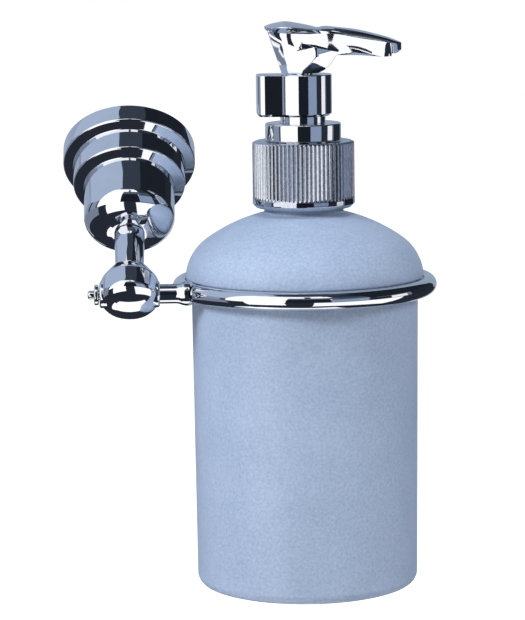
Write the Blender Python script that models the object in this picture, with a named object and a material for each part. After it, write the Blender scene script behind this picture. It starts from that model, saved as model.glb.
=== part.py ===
"""Wall-mounted frosted glass soap dispenser: a stepped rosette on a post, a clamped arm with a ring,
a glass bottle that hangs in the ring by its shoulder, and a locking lotion pump.

The origin is the centre of the face that goes against the wall. +X runs from the knuckle to the bottle,
+Y points away from the person using it and +Z is up along the bottle.
"""

import math

import bmesh
import bpy
from mathutils import Matrix, Vector

# Clearances, in metres as all sizes here
SEAT_GAP = 0.0003
RUN_GAP = 0.0003
BOTTLE_CLEARANCE = 0.00035
CUT_OVERRUN = 0.001
WELD_DISTANCE = 0.000001

# Posture: how far the wall axis points below the horizon while the bottle stands upright
ARM_TILT_DEG = 42.5
REACH = 0.062

# Wall plate
PLATE_THICKNESS = 0.002
PLATE_RIM_HEIGHT = 0.0042
PLATE_RIM_WALL = 0.0016
PLATE_RADIAL_GAP = 0.0026
PLATE_HOLE_RADIUS = 0.0026
PLATE_HOLE_OFFSET = 0.0095

# Rosette
DISC_RADIUS = 0.0218
DISC_HEIGHT = 0.0064
DISC_SLOPE = 0.0011
STEP_RADIUS = 0.0184
STEP_HEIGHT = 0.008
STEP_SLOPE = 0.0015
BELL_RADIUS = 0.0148
BELL_LENGTH = 0.0126
DOME_RISE = 0.0078
DOME_WALL = 0.003
ROSETTE_WALL = 0.0016
ROSETTE_EDGE = 0.0005
ROSETTE_SEAT_MARGIN = 0.0005

# Grub screw that holds the rosette on the wall plate
GRUB_RADIUS = 0.0015
GRUB_SINK = 0.0004
GRUB_SOCKET_RADIUS = 0.0008
GRUB_SOCKET_DEPTH = 0.0012

# Post and the screw that holds it
POST_FOOT_RADIUS = 0.005
POST_NECK_RADIUS = 0.0045
SPIGOT_RADIUS = 0.0026
SPIGOT_LENGTH = 0.004
POST_SCREW_RADIUS = 0.0025
POST_SCREW_GRIP = 0.008
SCREW_HEAD_RADIUS = 0.0042
SCREW_HEAD_HEIGHT = 0.003
SCREW_SOCKET_RADIUS = 0.002
SCREW_SOCKET_DEPTH = 0.0016
WASHER_RADIUS = 0.005
WASHER_THICKNESS = 0.001

# Knuckle
KNUCKLE_BACK = 0.0089
KNUCKLE_BACK_RADIUS = 0.0065
KNUCKLE_FLANK = 0.0046
KNUCKLE_BELT = 0.0059
KNUCKLE_RADIUS = 0.0094
KNUCKLE_DOME_RISE = 0.0043
BOSS_RADIUS = 0.0043
BOSS_REACH = 0.0096
BOSS_EDGE = 0.0007
CLAMP_SCREW_RADIUS = 0.0016
CLAMP_SCREW_SINK = 0.0005

# Arm and its end cap
ARM_RADIUS = 0.00315
ARM_TIP_RADIUS = 0.0016
ARM_TIP_LENGTH = 0.0009
CAP_RADIUS = 0.0033
CAP_THICKNESS = 0.0014
CAP_EDGE = 0.0004
NUB_RADIUS = 0.0014
NUB_LENGTH = 0.0021

# Ring, set out from the knuckle centre
RING_OFFSET = 0.0566
ARM_FORWARD = 0.017
RING_ROD_RADIUS = 0.0029

# Bottle, heights counted from the plane of the ring
BOTTLE_RADIUS = 0.03675
BOTTLE_FOOT_RADIUS = 0.0361
BOTTLE_DROP = 0.0985
BASE_ROUND = 0.0035
FOOT_RING_WIDTH = 0.004
PUNT_RISE = 0.0012
GLASS_WALL = 0.003
GLASS_FLOOR = 0.006
SHOULDER_RADIUS = 0.0387
SHOULDER_ROUND = 0.016
SHOULDER_LIP = 0.0008
CROWN_RADIUS = 0.0553
NECK_BASE = 0.0237
NECK_RADIUS = 0.0128
NECK_BORE_RADIUS = 0.0098
RIM_ROUND = 0.0006
RING_WRAP_DEG = 62

# Closure: ribbed collar over a liner
NECK_SHOW = 0.0017
COLLAR_HEIGHT = 0.0214
COLLAR_RADIUS = 0.0165
RIB_COUNT = 72
RIB_DEPTH = 0.0006
BAND_HEIGHT = 0.0027
BAND_PROUD = 0.0001
BAND_CHAMFER = 0.0012
RIB_END = 0.0004
COLLAR_TOP_CHAMFER = 0.0005
COLLAR_SKIN = 0.0011
COLLAR_TOP_WALL = 0.0012
LINER_RECESS = 0.0004
LINER_TOP_WALL = 0.0013
THREAD_SPACE = 0.0008
FLANGE_THICKNESS = 0.0014
GASKET_THICKNESS = 0.0012
FLANGE_MARGIN = 0.0012

# Chaplet on top of the closure
CHAPLET_RADIUS = 0.0123
CHAPLET_HEIGHT = 0.0055
CHAPLET_EDGE = 0.0005
CHAPLET_SPIGOT_WALL = 0.0017
CHAPLET_FLOOR = 0.0012

# Pump housing, from its flange down
HOUSING_LENGTH = 0.0467
HOUSING_RADIUS = 0.0076
HOUSING_WALL = 0.0011
CAGE_RADIUS = 0.003
CAGE_HEIGHT = 0.0047
CAGE_WALL = 0.0016
SEAT_BORE_RADIUS = 0.0012
SEAT_WALL = 0.0028
SOCKET_DEPTH = 0.0082
BALL_RADIUS = 0.0022
BALL_TRAVEL = 0.0015

# Piston, stem and return spring
STROKE = 0.0125
STEM_RADIUS = 0.0038
STEM_BORE_RADIUS = 0.0017
STEM_FOOT_RADIUS = 0.0028
PISTON_HEIGHT = 0.0057
PISTON_LIP = 0.0009
PISTON_WAIST = 0.0009
SPRING_WIRE_RADIUS = 0.0004
SPRING_RADIUS = 0.0049
SPRING_TURNS = 7

# Dip tube
TUBE_RADIUS = 0.003
TUBE_WALL = 0.0008
TUBE_FLOOR_GAP = 0.0025

# Pump head: lock sleeve, skirt with its lug, and the spout casting
HEAD_GAP = 0.0023
SLEEVE_RADIUS = 0.0073
SLEEVE_FLOOR_GAP = 0.0008
SLEEVE_HOLD = 0.0052
SKIRT_RADIUS = 0.0094
SKIRT_HEIGHT = 0.0133
SKIRT_CHAMFER = 0.0008
LUG_REACH = 0.0149
LUG_HALF_WIDTH = 0.0065
LUG_CORNER = 0.003
STEM_HOLD = 0.0052
FOOT_PEG_RADIUS = 0.0031
FOOT_PEG_LENGTH = 0.002
SPOUT_REACH = 0.0318
SPOUT_HEIGHT = 0.0167
TAIL_REACH = 0.0121
PAD_HALF_WIDTH = 0.0072
SPOUT_HALF_WIDTH = 0.0036
PYLON_HALF_WIDTH = 0.0052
OUTLET_RADIUS = 0.0011
OUTLET_DEPTH = 0.006

# The spout casting's sections along X. Reaches are shares of SPOUT_REACH, or of TAIL_REACH behind the
# pump axis; heights are shares of SPOUT_HEIGHT over the skirt; widths are shares of the half width.
# Each row: reach, ridge height, shoulder height, edge height, keel height, shoulder width, edge width
PAD_SHARES = (
    (-1.0, 0.910, 0.904, 0.880, 0.868, 0.03, 0.05),
    (-0.82, 0.958, 0.900, 0.815, 0.770, 0.36, 0.58),
    (-0.47, 1.0, 0.893, 0.720, 0.650, 0.62, 1.0),
    (-0.12, 0.966, 0.888, 0.714, 0.560, 0.60, 0.96),
    (0.06, 0.905, 0.884, 0.730, 0.430, 0.52, 0.84),
)
SPOUT_SHARES = (
    (0.20, 0.890, 0.878, 0.775, 0.352, 0.80, 1.30),
    (0.37, 0.882, 0.868, 0.775, 0.345, 0.45, 1.05),
    (0.57, 0.822, 0.805, 0.672, 0.335, 0.34, 0.98),
    (0.82, 0.700, 0.685, 0.605, 0.300, 0.28, 0.86),
    (0.93, 0.630, 0.615, 0.560, 0.330, 0.24, 0.72),
    (1.0, 0.570, 0.560, 0.535, 0.480, 0.18, 0.55),
)
# The pylon's sections, foot first. Each is seven points of reach, width and height: the back edge, then
# the crease, the flank's end and the nose, which repeat on the far side. Reaches and heights are shares
# as above and widths are shares of PYLON_HALF_WIDTH
PYLON_SHARES = (
    ((-0.56, 0.0, 0.0), (-0.42, 0.86, 0.0), (-0.03, 0.84, 0.0), (0.15, 0.42, 0.0)),
    ((-0.588, 0.0, 0.06), (-0.42, 0.88, 0.06), (0.0, 0.83, 0.06), (0.275, 0.40, 0.06)),
    ((-0.647, 0.0, 0.19), (-0.42, 0.92, 0.19), (0.07, 0.81, 0.19), (0.352, 0.44, 0.19)),
    ((-0.706, 0.0, 0.32), (-0.42, 0.97, 0.32), (0.14, 0.79, 0.32), (0.39, 0.48, 0.32)),
    ((-0.965, 0.0, 0.885), (-0.42, 1.24, 0.69), (0.14, 0.76, 0.5), (0.39, 0.48, 0.4)),
)

# Facets
LARGE_SIDES = 40
MEDIUM_SIDES = 32
SMALL_SIDES = 24
FINE_SIDES = 16
ROD_SIDES = 12
ARC_STEPS = 5
INNER_STEPS = 3
DOME_STEPS = 6
SMOOTH_ANGLE_DEG = 40

# Places worked out from the sizes above
TILT = math.radians(ARM_TILT_DEG)
KNUCKLE = Vector((0, -REACH * math.cos(TILT), -REACH * math.sin(TILT)))
RING_CENTRE = KNUCKLE + Vector((RING_OFFSET, ARM_FORWARD, 0))
RING_RADIUS = BOTTLE_RADIUS + BOTTLE_CLEARANCE + RING_ROD_RADIUS

STEP_BASE = DISC_HEIGHT + DISC_SLOPE
STEP_TOP = STEP_BASE + STEP_HEIGHT
BELL_BASE = STEP_TOP + STEP_SLOPE
BELL_TOP = BELL_BASE + BELL_LENGTH
SEAT_RADIUS = POST_FOOT_RADIUS + ROSETTE_SEAT_MARGIN
SEAT_HEIGHT = BELL_TOP + DOME_RISE * math.sqrt(1 - (SEAT_RADIUS / BELL_RADIUS) ** 2)
ROOF_RADIUS = WASHER_RADIUS + ROSETTE_SEAT_MARGIN
BELL_BORE = BELL_RADIUS - ROSETTE_WALL
INNER_RISE = DOME_RISE - DOME_WALL
ROOF_HEIGHT = BELL_TOP + INNER_RISE * math.sqrt(1 - (ROOF_RADIUS / BELL_BORE) ** 2)
PLATE_RADIUS = DISC_RADIUS - ROSETTE_WALL - PLATE_RADIAL_GAP

COLLAR_BOTTOM = NECK_BASE + NECK_SHOW
COLLAR_TOP = COLLAR_BOTTOM + COLLAR_HEIGHT
COLLAR_CEILING = COLLAR_TOP - COLLAR_TOP_WALL
COLLAR_BORE = COLLAR_RADIUS - RIB_DEPTH - COLLAR_SKIN
LINER_TOP = COLLAR_CEILING - SEAT_GAP
LINER_CEILING = LINER_TOP - LINER_TOP_WALL
LINER_RADIUS = COLLAR_BORE - SEAT_GAP
LINER_BORE = NECK_RADIUS + THREAD_SPACE
FLANGE_TOP = LINER_CEILING - SEAT_GAP
FLANGE_BOTTOM = FLANGE_TOP - FLANGE_THICKNESS
FLANGE_RADIUS = LINER_BORE - FLANGE_MARGIN
GASKET_TOP = FLANGE_BOTTOM - SEAT_GAP
GASKET_BOTTOM = GASKET_TOP - GASKET_THICKNESS
RIM_HEIGHT = GASKET_BOTTOM - SEAT_GAP

CHAPLET_BASE = FLANGE_TOP + SEAT_GAP
CHAPLET_SHOULDER = COLLAR_TOP + SEAT_GAP
CHAPLET_TOP = CHAPLET_SHOULDER + CHAPLET_HEIGHT
CHAPLET_BORE = SLEEVE_RADIUS + RUN_GAP
CHAPLET_SPIGOT = CHAPLET_BORE + CHAPLET_SPIGOT_WALL
CLOSURE_HOLE = CHAPLET_SPIGOT + RUN_GAP

HOUSING_BORE = HOUSING_RADIUS - HOUSING_WALL
HOUSING_BOTTOM = FLANGE_TOP - HOUSING_LENGTH
SOCKET_TOP = HOUSING_BOTTOM + SOCKET_DEPTH
CAGE_BOTTOM = SOCKET_TOP + SEAT_WALL
CAGE_TOP = CAGE_BOTTOM + CAGE_HEIGHT
PISTON_TOP = CHAPLET_BASE - RUN_GAP - STROKE
PISTON_BOTTOM = PISTON_TOP - PISTON_HEIGHT
SPRING_BOTTOM = CAGE_TOP + SEAT_GAP
SPRING_TOP = PISTON_BOTTOM - SEAT_GAP
FLOOR_HEIGHT = GLASS_FLOOR - BOTTLE_DROP

SKIRT_BOTTOM = CHAPLET_TOP + HEAD_GAP
SKIRT_TOP = SKIRT_BOTTOM + SKIRT_HEIGHT
SLEEVE_BOTTOM = CHAPLET_BASE + CHAPLET_FLOOR + SLEEVE_FLOOR_GAP
SLEEVE_TOP = SKIRT_BOTTOM + SLEEVE_HOLD
STEM_TOP = SLEEVE_TOP + SEAT_GAP + STEM_HOLD


def clear_scene():
    for obj in list(bpy.data.objects):
        bpy.data.objects.remove(obj)


def finish(name, colour, metallic, roughness, transmission=0.0):
    """A Principled material."""
    material = bpy.data.materials.new(name)
    material.use_nodes = True
    shader = material.node_tree.nodes["Principled BSDF"]
    shader.inputs["Base Color"].default_value = (*colour, 1.0)
    shader.inputs["Metallic"].default_value = metallic
    shader.inputs["Roughness"].default_value = roughness
    shader.inputs["Transmission Weight"].default_value = transmission
    return material


def axis_empty(name, parent, location, rotation=(0, 0, 0)):
    """An empty that stands on a joint's or a piece's axis."""
    empty = bpy.data.objects.new(name, None)
    empty.parent = parent
    empty.location = location
    empty.rotation_euler = rotation
    bpy.context.collection.objects.link(empty)
    return empty


def make(name, bm, material, parent, location=(0, 0, 0), rotation=(0, 0, 0)):
    """Turns a bmesh into a named object with its faces pointing out."""
    bmesh.ops.recalc_face_normals(bm, faces=bm.faces)
    mesh = bpy.data.meshes.new(name)
    bm.to_mesh(mesh)
    bm.free()
    mesh.shade_smooth()
    mesh.set_sharp_from_angle(angle=math.radians(SMOOTH_ANGLE_DEG))
    if material:
        mesh.materials.append(material)
    obj = bpy.data.objects.new(name, mesh)
    obj.parent = parent
    obj.location = location
    obj.rotation_euler = rotation
    bpy.context.collection.objects.link(obj)
    return obj


def combine(target, tool, operation):
    """Joins or cuts with a tool object that stays out of the model."""
    tool.hide_render = True
    tool.display_type = "WIRE"
    modifier = target.modifiers.new(tool.name, "BOOLEAN")
    modifier.operation = operation
    modifier.solver = "EXACT"
    modifier.object = tool


def arc(centre, radius, start, end, steps=ARC_STEPS):
    """Points on an arc round (radius, height), angles in degrees from the outward direction."""
    angles = [math.radians(start + (end - start) * i / steps) for i in range(steps + 1)]
    return [(centre[0] + radius * math.cos(a), centre[1] + radius * math.sin(a)) for a in angles]


def turned(outline, sides):
    """Spins an outline of (radius, height) points about Z. It is closed, or ends on the axis."""
    bm = bmesh.new()
    verts = [bm.verts.new((r, 0, z)) for r, z in outline]
    edges = []
    for a, b in zip(verts, verts[1:] + verts[:1]):
        if a.co.x or b.co.x:
            edges.append(bm.edges.new((a, b)))
    bmesh.ops.spin(
        bm,
        geom=verts + edges,
        cent=(0, 0, 0),
        axis=(0, 0, 1),
        angle=2 * math.pi,
        steps=sides,
        use_merge=True,
    )
    bmesh.ops.remove_doubles(bm, verts=bm.verts, dist=WELD_DISTANCE)
    return bm


def tube(outer, inner, bottom, top, sides):
    return turned([(inner, bottom), (outer, bottom), (outer, top), (inner, top)], sides)


def rod(radius, bottom, top, sides):
    return turned([(0, bottom), (radius, bottom), (radius, top), (0, top)], sides)


def lofted(sections):
    """Skins a list of equal closed sections and closes both ends."""
    bm = bmesh.new()
    rings = [[bm.verts.new(point) for point in section] for section in sections]
    for low, high in zip(rings, rings[1:]):
        for i in range(len(low)):
            j = (i + 1) % len(low)
            bm.faces.new((low[i], low[j], high[j], high[i]))
    bm.faces.new(rings[0])
    bm.faces.new(rings[-1])
    return bm


def wall_plate(parent, steel):
    """The dished plate that is screwed to the wall; the grub screw bears on its rim."""
    inner = PLATE_RADIUS - PLATE_RIM_WALL
    outline = [
        (0, 0),
        (PLATE_RADIUS, 0),
        (PLATE_RADIUS, PLATE_RIM_HEIGHT),
        (inner, PLATE_RIM_HEIGHT),
        (inner, PLATE_THICKNESS),
        (0, PLATE_THICKNESS),
    ]
    plate = make("wall_plate", turned(outline, MEDIUM_SIDES), steel, parent)
    for side, x in (("left", -PLATE_HOLE_OFFSET), ("right", PLATE_HOLE_OFFSET)):
        hole = rod(PLATE_HOLE_RADIUS, -CUT_OVERRUN, PLATE_THICKNESS + CUT_OVERRUN, FINE_SIDES)
        combine(plate, make("hole_" + side, hole, None, parent, (x, 0, 0)), "DIFFERENCE")
    return plate


def rosette(parent, chrome):
    """Stepped bell cover, turned and hollow, open at the wall."""
    edge = ROSETTE_EDGE
    outline = [(DISC_RADIUS - ROSETTE_WALL, 0), (DISC_RADIUS, 0)]
    outline += arc((DISC_RADIUS - edge, DISC_HEIGHT - edge), edge, 0, 90, 2)
    outline += arc((STEP_RADIUS - edge, STEP_TOP - edge), edge, 0, 90, 2)
    outline.insert(-3, (STEP_RADIUS, STEP_BASE))
    outline += [(BELL_RADIUS, BELL_BASE)]
    last = math.acos(SEAT_RADIUS / BELL_RADIUS)
    for i in range(DOME_STEPS + 1):
        a = last * i / DOME_STEPS
        outline.append((BELL_RADIUS * math.cos(a), BELL_TOP + DOME_RISE * math.sin(a)))
    bore = POST_SCREW_RADIUS + SEAT_GAP
    outline += [(bore, SEAT_HEIGHT), (bore, ROOF_HEIGHT)]
    first = math.acos(ROOF_RADIUS / BELL_BORE)
    for i in range(INNER_STEPS + 1):
        a = first * (1 - i / INNER_STEPS)
        outline.append((BELL_BORE * math.cos(a), BELL_TOP + INNER_RISE * math.sin(a)))
    outline += [
        (BELL_BORE, STEP_TOP - ROSETTE_WALL),
        (STEP_RADIUS - ROSETTE_WALL, STEP_TOP - ROSETTE_WALL),
        (STEP_RADIUS - ROSETTE_WALL, DISC_HEIGHT - ROSETTE_WALL),
        (DISC_RADIUS - ROSETTE_WALL, DISC_HEIGHT - ROSETTE_WALL),
    ]
    cover = make("rosette", turned(outline, LARGE_SIDES), chrome, parent)
    hole = rod(GRUB_RADIUS + SEAT_GAP, PLATE_RADIUS, DISC_RADIUS + CUT_OVERRUN, FINE_SIDES)
    at = (0, 0, PLATE_RIM_HEIGHT / 2)
    combine(cover, make("grub_hole", hole, None, parent, at, (math.pi / 2, 0, 0)), "DIFFERENCE")
    return cover


def grub_screw(parent, steel):
    """Socket screw through the underside of the rosette's rim."""
    tip = PLATE_RADIUS + SEAT_GAP
    end = DISC_RADIUS - GRUB_SINK
    outline = [
        (0, tip),
        (GRUB_RADIUS / 2, tip),
        (GRUB_RADIUS, tip + GRUB_RADIUS / 2),
        (GRUB_RADIUS, end),
        (GRUB_SOCKET_RADIUS, end),
        (GRUB_SOCKET_RADIUS, end - GRUB_SOCKET_DEPTH),
        (0, end - GRUB_SOCKET_DEPTH),
    ]
    at = (0, 0, PLATE_RIM_HEIGHT / 2)
    make("grub_screw", turned(outline, ROD_SIDES), steel, parent, at, (math.pi / 2, 0, 0))


def post(parent, chrome):
    """Tapered post from the rosette's seat to the knuckle, with a spigot that enters the knuckle."""
    foot = SEAT_HEIGHT + SEAT_GAP
    top = REACH - KNUCKLE_BACK - SEAT_GAP
    bore = POST_SCREW_RADIUS + SEAT_GAP
    bore_end = ROOF_HEIGHT + POST_SCREW_GRIP + SEAT_GAP
    outline = [
        (bore, foot),
        (POST_FOOT_RADIUS, foot),
        (POST_NECK_RADIUS, top),
        (SPIGOT_RADIUS, top),
        (SPIGOT_RADIUS, top + SPIGOT_LENGTH),
        (0, top + SPIGOT_LENGTH),
        (0, bore_end),
        (bore, bore_end),
    ]
    make("post", turned(outline, SMALL_SIDES), chrome, parent)


def post_screw(parent, steel):
    """Socket screw from inside the rosette into the post, on its washer."""
    washer_top = ROOF_HEIGHT - SEAT_GAP
    washer_bottom = washer_top - WASHER_THICKNESS
    bore = POST_SCREW_RADIUS + SEAT_GAP
    washer = tube(WASHER_RADIUS, bore, washer_bottom, washer_top, SMALL_SIDES)
    make("post_washer", washer, steel, parent)
    head_top = washer_bottom - SEAT_GAP
    head_bottom = head_top - SCREW_HEAD_HEIGHT
    outline = [
        (0, head_bottom + SCREW_SOCKET_DEPTH),
        (SCREW_SOCKET_RADIUS, head_bottom + SCREW_SOCKET_DEPTH),
        (SCREW_SOCKET_RADIUS, head_bottom),
        (SCREW_HEAD_RADIUS, head_bottom),
        (SCREW_HEAD_RADIUS, head_top),
        (POST_SCREW_RADIUS, head_top),
        (POST_SCREW_RADIUS, ROOF_HEIGHT + POST_SCREW_GRIP),
        (0, ROOF_HEIGHT + POST_SCREW_GRIP),
    ]
    make("post_screw", turned(outline, FINE_SIDES), steel, parent)


def knuckle(parent, chrome):
    """Cone, belt and dome on the post's end, with a cross boss bored for the arm."""
    belt_end = KNUCKLE_FLANK + KNUCKLE_BELT - KNUCKLE_BACK
    outline = [
        (0, -KNUCKLE_BACK),
        (KNUCKLE_BACK_RADIUS, -KNUCKLE_BACK),
        (KNUCKLE_RADIUS, KNUCKLE_FLANK - KNUCKLE_BACK),
    ]
    for i in range(DOME_STEPS + 1):
        a = math.pi / 2 * i / DOME_STEPS
        r = KNUCKLE_RADIUS * math.cos(a) if i < DOME_STEPS else 0
        outline.append((r, belt_end + KNUCKLE_DOME_RISE * math.sin(a)))
    body = make("knuckle", turned(outline, MEDIUM_SIDES), chrome, parent, (0, 0, REACH))
    edge = BOSS_EDGE
    boss = [(0, -BOSS_REACH)]
    boss += arc((BOSS_RADIUS - edge, edge - BOSS_REACH), edge, -90, 0, 2)
    boss += arc((BOSS_RADIUS - edge, BOSS_REACH - edge), edge, 0, 90, 2)
    boss += [(0, BOSS_REACH)]
    across = (0, math.pi / 2, 0)
    at = (0, 0, REACH)
    combine(body, make("boss", turned(boss, SMALL_SIDES), None, parent, at, across), "UNION")
    reach = BOSS_REACH + CUT_OVERRUN
    bore = rod(ARM_RADIUS + RUN_GAP, -reach, reach, SMALL_SIDES)
    combine(body, make("arm_bore", bore, None, parent, at, across), "DIFFERENCE")
    hole_end = SPIGOT_LENGTH - KNUCKLE_BACK
    hole = rod(SPIGOT_RADIUS + SEAT_GAP, -KNUCKLE_BACK - CUT_OVERRUN, hole_end, FINE_SIDES)
    combine(body, make("spigot_hole", hole, None, parent, at), "DIFFERENCE")
    screw_hole = rod(CLAMP_SCREW_RADIUS + SEAT_GAP, 0, KNUCKLE_RADIUS + CUT_OVERRUN, ROD_SIDES)
    down = (math.pi / 2, 0, 0)
    combine(body, make("clamp_hole", screw_hole, None, parent, at, down), "DIFFERENCE")


def clamp_screw(parent, steel):
    """Set screw from under the knuckle onto the arm."""
    tip = ARM_RADIUS + SEAT_GAP
    end = KNUCKLE_RADIUS - CLAMP_SCREW_SINK
    outline = [
        (0, tip),
        (CLAMP_SCREW_RADIUS / 2, tip),
        (CLAMP_SCREW_RADIUS, tip + CLAMP_SCREW_RADIUS / 2),
        (CLAMP_SCREW_RADIUS, end),
        (GRUB_SOCKET_RADIUS, end),
        (GRUB_SOCKET_RADIUS, end - GRUB_SOCKET_DEPTH),
        (0, end - GRUB_SOCKET_DEPTH),
    ]
    at = (0, 0, REACH)
    make("clamp_screw", turned(outline, ROD_SIDES), steel, parent, at, (math.pi / 2, 0, 0))


def arm(parent, chrome):
    """Rod through the knuckle, coped at its end where it is brazed to the ring, and its end cap."""
    ahead = ARM_FORWARD - ARM_RADIUS
    end = RING_OFFSET - math.sqrt(RING_RADIUS**2 - ahead**2)
    face = -BOSS_REACH
    tip = face - SEAT_GAP - ARM_TIP_LENGTH
    outline = [
        (0, tip),
        (ARM_TIP_RADIUS, tip),
        (ARM_TIP_RADIUS, face),
        (ARM_RADIUS, face),
        (ARM_RADIUS, end),
        (0, end),
    ]
    along = (0, math.pi / 2, 0)
    shaft = make("arm_rod", turned(outline, SMALL_SIDES), chrome, parent, (0, 0, 0), along)
    cope = turned(arc((RING_RADIUS, 0), RING_ROD_RADIUS + SEAT_GAP, 0, 330, 11), LARGE_SIDES)
    at = (RING_OFFSET, ARM_FORWARD, 0)
    combine(shaft, make("cope", cope, None, parent, at), "DIFFERENCE")

    back = face - SEAT_GAP
    front = back - CAP_THICKNESS
    bore = ARM_TIP_RADIUS + SEAT_GAP
    nub_end = front - NUB_LENGTH
    cap = [(0, nub_end)]
    cap += arc((0, nub_end + NUB_RADIUS), NUB_RADIUS, -60, 0, 3)
    cap += [(NUB_RADIUS, front)]
    cap += arc((CAP_RADIUS - CAP_EDGE, front + CAP_EDGE), CAP_EDGE, -90, 0, 2)
    cap += arc((CAP_RADIUS - CAP_EDGE, back - CAP_EDGE), CAP_EDGE, 0, 90, 2)
    cap += [(bore, back), (bore, tip - SEAT_GAP), (0, tip - SEAT_GAP)]
    make("end_cap", turned(cap, SMALL_SIDES), chrome, parent, (0, 0, 0), along)


def bottle_ring(parent, chrome):
    outline = arc((RING_RADIUS, 0), RING_ROD_RADIUS, 0, 330, 11)
    make("bottle_ring", turned(outline, LARGE_SIDES), chrome, parent)


def shoulder(radius, rounding, crown, centre, neck, steps):
    """The shoulder from its widest point to the neck: a rounding that runs into the crown's sphere."""
    across = radius - rounding
    rise = math.sqrt((crown - rounding) ** 2 - across**2)
    join = math.degrees(math.atan2(rise, across))
    points = arc((across, centre + rise), rounding, 0, join, steps)
    neck_angle = math.degrees(math.acos(neck / crown))
    return points + arc((0, centre), crown, join, neck_angle, steps)[1:]


def bottle(parent, glass):
    """Glass bottle: tapered body, a shoulder that overhangs the ring, a low crown and a short neck."""
    centre = NECK_BASE - math.sqrt(CROWN_RADIUS**2 - NECK_RADIUS**2)
    base = -BOTTLE_DROP
    foot = BOTTLE_FOOT_RADIUS - BASE_ROUND
    outline = [(0, base + PUNT_RISE), (foot - FOOT_RING_WIDTH, base + PUNT_RISE)]
    outline += arc((foot, base + BASE_ROUND), BASE_ROUND, -90, 0, 4)
    wrap = RING_ROD_RADIUS + SEAT_GAP
    outline += [(BOTTLE_RADIUS, -RING_ROD_RADIUS)]
    outline += arc((RING_RADIUS, 0), wrap, 180, 180 - RING_WRAP_DEG, 4)
    lip = outline[-1][1] + SHOULDER_LIP
    outer = shoulder(SHOULDER_RADIUS, SHOULDER_ROUND, CROWN_RADIUS, centre, NECK_RADIUS, ARC_STEPS)
    outline += [point for point in outer if point[1] > lip]
    outline += arc((NECK_RADIUS - RIM_ROUND, RIM_HEIGHT - RIM_ROUND), RIM_ROUND, 0, 90, 2)
    inner_crown = CROWN_RADIUS - GLASS_WALL
    bore = BOTTLE_RADIUS - GLASS_WALL
    inner_round = SHOULDER_ROUND - GLASS_WALL
    inner = shoulder(bore, inner_round, inner_crown, centre, NECK_BORE_RADIUS, INNER_STEPS)
    outline += [(NECK_BORE_RADIUS, RIM_HEIGHT)] + inner[::-1]
    foot_bore = BOTTLE_FOOT_RADIUS - GLASS_WALL - BASE_ROUND
    outline += arc((foot_bore, FLOOR_HEIGHT + BASE_ROUND), BASE_ROUND, 0, -90, 2)
    outline += [(0, FLOOR_HEIGHT)]
    make("bottle", turned(outline, LARGE_SIDES), glass, parent)


def neck_gasket(parent, rubber):
    ring = tube(NECK_RADIUS, HOUSING_RADIUS + SEAT_GAP, GASKET_BOTTOM, GASKET_TOP, MEDIUM_SIDES)
    make("neck_gasket", ring, rubber, parent)


def collar(parent, chrome):
    """Ribbed closure shell with a smooth chamfered band at its foot."""
    band = COLLAR_RADIUS + BAND_PROUD
    rib_foot = COLLAR_BOTTOM + BAND_HEIGHT
    rib_top = COLLAR_TOP - COLLAR_TOP_CHAMFER
    root = COLLAR_RADIUS - RIB_DEPTH
    outline = [
        (COLLAR_BORE, COLLAR_BOTTOM),
        (band - BAND_CHAMFER, COLLAR_BOTTOM),
        (band, COLLAR_BOTTOM + BAND_CHAMFER),
        (band, rib_foot),
        (COLLAR_RADIUS, rib_foot + RIB_END),
        (COLLAR_RADIUS, rib_top),
        (root - COLLAR_TOP_CHAMFER, COLLAR_TOP),
        (CLOSURE_HOLE, COLLAR_TOP),
        (CLOSURE_HOLE, COLLAR_CEILING),
        (COLLAR_BORE, COLLAR_CEILING),
    ]
    bm = turned(outline, 2 * RIB_COUNT)
    step = math.pi / RIB_COUNT
    for vert in bm.verts:
        ribbed = vert.co.xy.length > root + WELD_DISTANCE and vert.co.z > rib_foot + WELD_DISTANCE
        if ribbed and round(math.atan2(vert.co.y, vert.co.x) / step) % 2:
            vert.co.xy *= root / vert.co.xy.length
    make("collar", bm, chrome, parent)


def collar_liner(parent, plastic):
    """Closure body inside the shell, which carries the neck's thread."""
    bottom = COLLAR_BOTTOM + LINER_RECESS
    outline = [
        (LINER_BORE, bottom),
        (LINER_RADIUS, bottom),
        (LINER_RADIUS, LINER_TOP),
        (CLOSURE_HOLE, LINER_TOP),
        (CLOSURE_HOLE, LINER_CEILING),
        (LINER_BORE, LINER_CEILING),
    ]
    make("collar_liner", turned(outline, MEDIUM_SIDES), plastic, parent)


def chaplet(parent, chrome):
    """Boss on the closure that the head locks down into; its spigot holds the housing's flange."""
    guide = STEM_RADIUS + RUN_GAP
    edge = CHAPLET_EDGE
    outline = [
        (guide, CHAPLET_BASE),
        (CHAPLET_SPIGOT, CHAPLET_BASE),
        (CHAPLET_SPIGOT, CHAPLET_SHOULDER),
        (CHAPLET_RADIUS, CHAPLET_SHOULDER),
    ]
    outline += arc((CHAPLET_RADIUS - edge, CHAPLET_TOP - edge), edge, 0, 90, 2)
    outline += [
        (CHAPLET_BORE, CHAPLET_TOP),
        (CHAPLET_BORE, CHAPLET_BASE + CHAPLET_FLOOR),
        (guide, CHAPLET_BASE + CHAPLET_FLOOR),
    ]
    make("chaplet", turned(outline, MEDIUM_SIDES), chrome, parent)


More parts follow.
